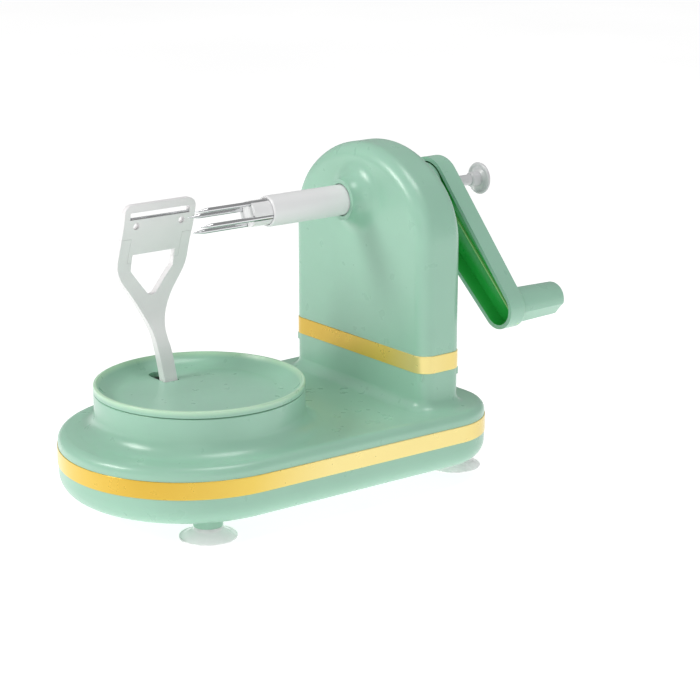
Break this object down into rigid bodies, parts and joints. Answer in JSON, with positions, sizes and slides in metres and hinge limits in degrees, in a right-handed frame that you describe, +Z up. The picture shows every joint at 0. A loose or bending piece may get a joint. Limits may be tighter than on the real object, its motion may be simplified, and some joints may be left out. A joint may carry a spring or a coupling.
{
  "type": "hand-crank fruit peeler",
  "caption": "Table-top hand-crank fruit peeler: a pronged fork turned by a crank, and a geared turntable that swings a sprung blade arm round the fruit.",
  "frame": {"origin": "middle of the footprint, on the table under the suction cups", "axes": "+X from the turntable to the tower and crank, +Y to the side the peeler arm stands on at rest, +Z up"},
  "size_m": [0.2322, 0.1252, 0.1528],
  "materials": {
    "mint_shell": "satin gloss moulded plastic, mint green",
    "mint_grip": "satin moulded plastic, mint green",
    "gold_trim": "gloss moulded plastic, warm yellow",
    "mint_dish": "satin gloss moulded plastic, mint green",
    "white_plastic": "satin white plastic",
    "pale_plastic": "satin white plastic, slightly grey",
    "grey_plastic": "satin light grey plastic",
    "clear_vinyl": "soft translucent vinyl",
    "bright_steel": "polished stainless steel",
    "plain_steel": "drawn steel",
    "screw_steel": "zinc plated steel",
    "spring_steel": "spring wire",
    "gear_nylon": "natural nylon",
    "bearing_plastic": "acetal",
    "inner_plastic": "moulded plastic"
  },
  "bodies": {
    "base": {"lower_shell": "mint_shell", "upper_shell": "mint_shell", "base_trim_band": "gold_trim", "tower_trim_band": "gold_trim", "tower_housing": "mint_shell", "tower_rear_cover": "mint_shell", "rear_cover_screws": "screw_steel", "base_screws": "screw_steel", "plate_screws": "screw_steel", "tower_screws": "screw_steel", "gear_plate": "inner_plastic", "compound_stud": "plain_steel", "idler_stud": "plain_steel", "stud_clips": "screw_steel", "spindle_bush": "bearing_plastic", "lower_shaft_bush": "bearing_plastic", "shaft_bracket": "inner_plastic", "upper_shaft_bush": "bearing_plastic", "slide_ring": "bearing_plastic", "front_bushing": "bearing_plastic", "rear_bushing": "bearing_plastic", "suction_cup_front_left": "clear_vinyl", "suction_cup_front_right": "clear_vinyl", "suction_cup_rear_left": "clear_vinyl", "suction_cup_rear_right": "clear_vinyl"},
    "crank": {"crank_arm": "mint_shell", "grip_screw": "screw_steel", "hub_set_screw": "screw_steel", "drive_shaft": "plain_steel", "drive_bevel_gear": "gear_nylon", "fork_sleeve": "white_plastic", "prong_holder": "white_plastic", "fork_prong_1": "bright_steel", "fork_prong_2": "bright_steel", "fork_prong_3": "bright_steel", "fork_prong_4": "bright_steel"},
    "grip": {"crank_grip": "mint_grip"},
    "ejector": {"ejector_plug": "white_plastic", "push_rod": "grey_plastic", "push_knob": "grey_plastic"},
    "upright": {"vertical_shaft": "plain_steel", "driven_bevel_gear": "gear_nylon", "shaft_pinion": "gear_nylon"},
    "compound": {"compound_gear": "gear_nylon"},
    "idler": {"idler_gear": "gear_nylon"},
    "turntable": {"turntable_dish": "mint_dish", "turntable_gear": "gear_nylon", "gear_screws": "screw_steel", "turntable_spindle": "plain_steel", "spindle_clip": "screw_steel", "arm_bracket": "inner_plastic", "bracket_screws": "screw_steel", "arm_pivot_pin": "plain_steel", "arm_spring": "spring_steel"},
    "peeler": {"peeler_arm": "pale_plastic", "blade_head": "pale_plastic", "peeling_blade": "bright_steel"}
  },
  "joints": [
    {"name": "crank_turn", "type": "hinge", "parent": "base", "child": "crank", "pos_m": [0.04827, 0, 0.1277], "axis": [1, 0, 0], "range_deg": [-5160, 840]},
    {"name": "grip_spin", "type": "hinge", "parent": "crank", "child": "grip", "pos_m": [0.09828, -0.05115, 0.07831], "axis": [1, 0, 0], "continuous": true},
    {"name": "ejector_push", "type": "slide", "parent": "crank", "child": "ejector", "axis": [-1, 0, 0], "range_m": [0, 0.0165]},
    {"name": "upright_turn", "type": "hinge", "parent": "base", "child": "upright", "pos_m": [0.04827, 0, 0.06], "axis": [0, 0, 1], "range_deg": [-5165, 845]},
    {"name": "compound_turn", "type": "hinge", "parent": "base", "child": "compound", "pos_m": [0.01827, 0, 0.022], "axis": [0, 0, 1], "range_deg": [-212, 1292]},
    {"name": "idler_turn", "type": "hinge", "parent": "base", "child": "idler", "pos_m": [-0.00172, 0, 0.02], "axis": [0, 0, 1], "range_deg": [-554, 91]},
    {"name": "turntable_turn", "type": "hinge", "parent": "base", "child": "turntable", "pos_m": [-0.05173, 0, 0.04], "axis": [0, 0, 1], "range_deg": [-35.5, 215.5]},
    {"name": "arm_swing", "type": "hinge", "parent": "turntable", "child": "peeler", "pos_m": [-0.05173, 0.0205, 0.038], "axis": [-1, 0, 0], "range_deg": [0, 24], "stiffness_Nm_per_rad": 0.2, "springref_deg": -45.84, "deforming": ["arm_spring"]}
  ],
  "couplings": [
    {"joint": "upright_turn", "follows": "crank_turn", "ratio": 1},
    {"joint": "compound_turn", "follows": "crank_turn", "ratio": -0.25},
    {"joint": "idler_turn", "follows": "crank_turn", "ratio": 0.10714},
    {"joint": "turntable_turn", "follows": "crank_turn", "ratio": -0.041667}
  ]
}
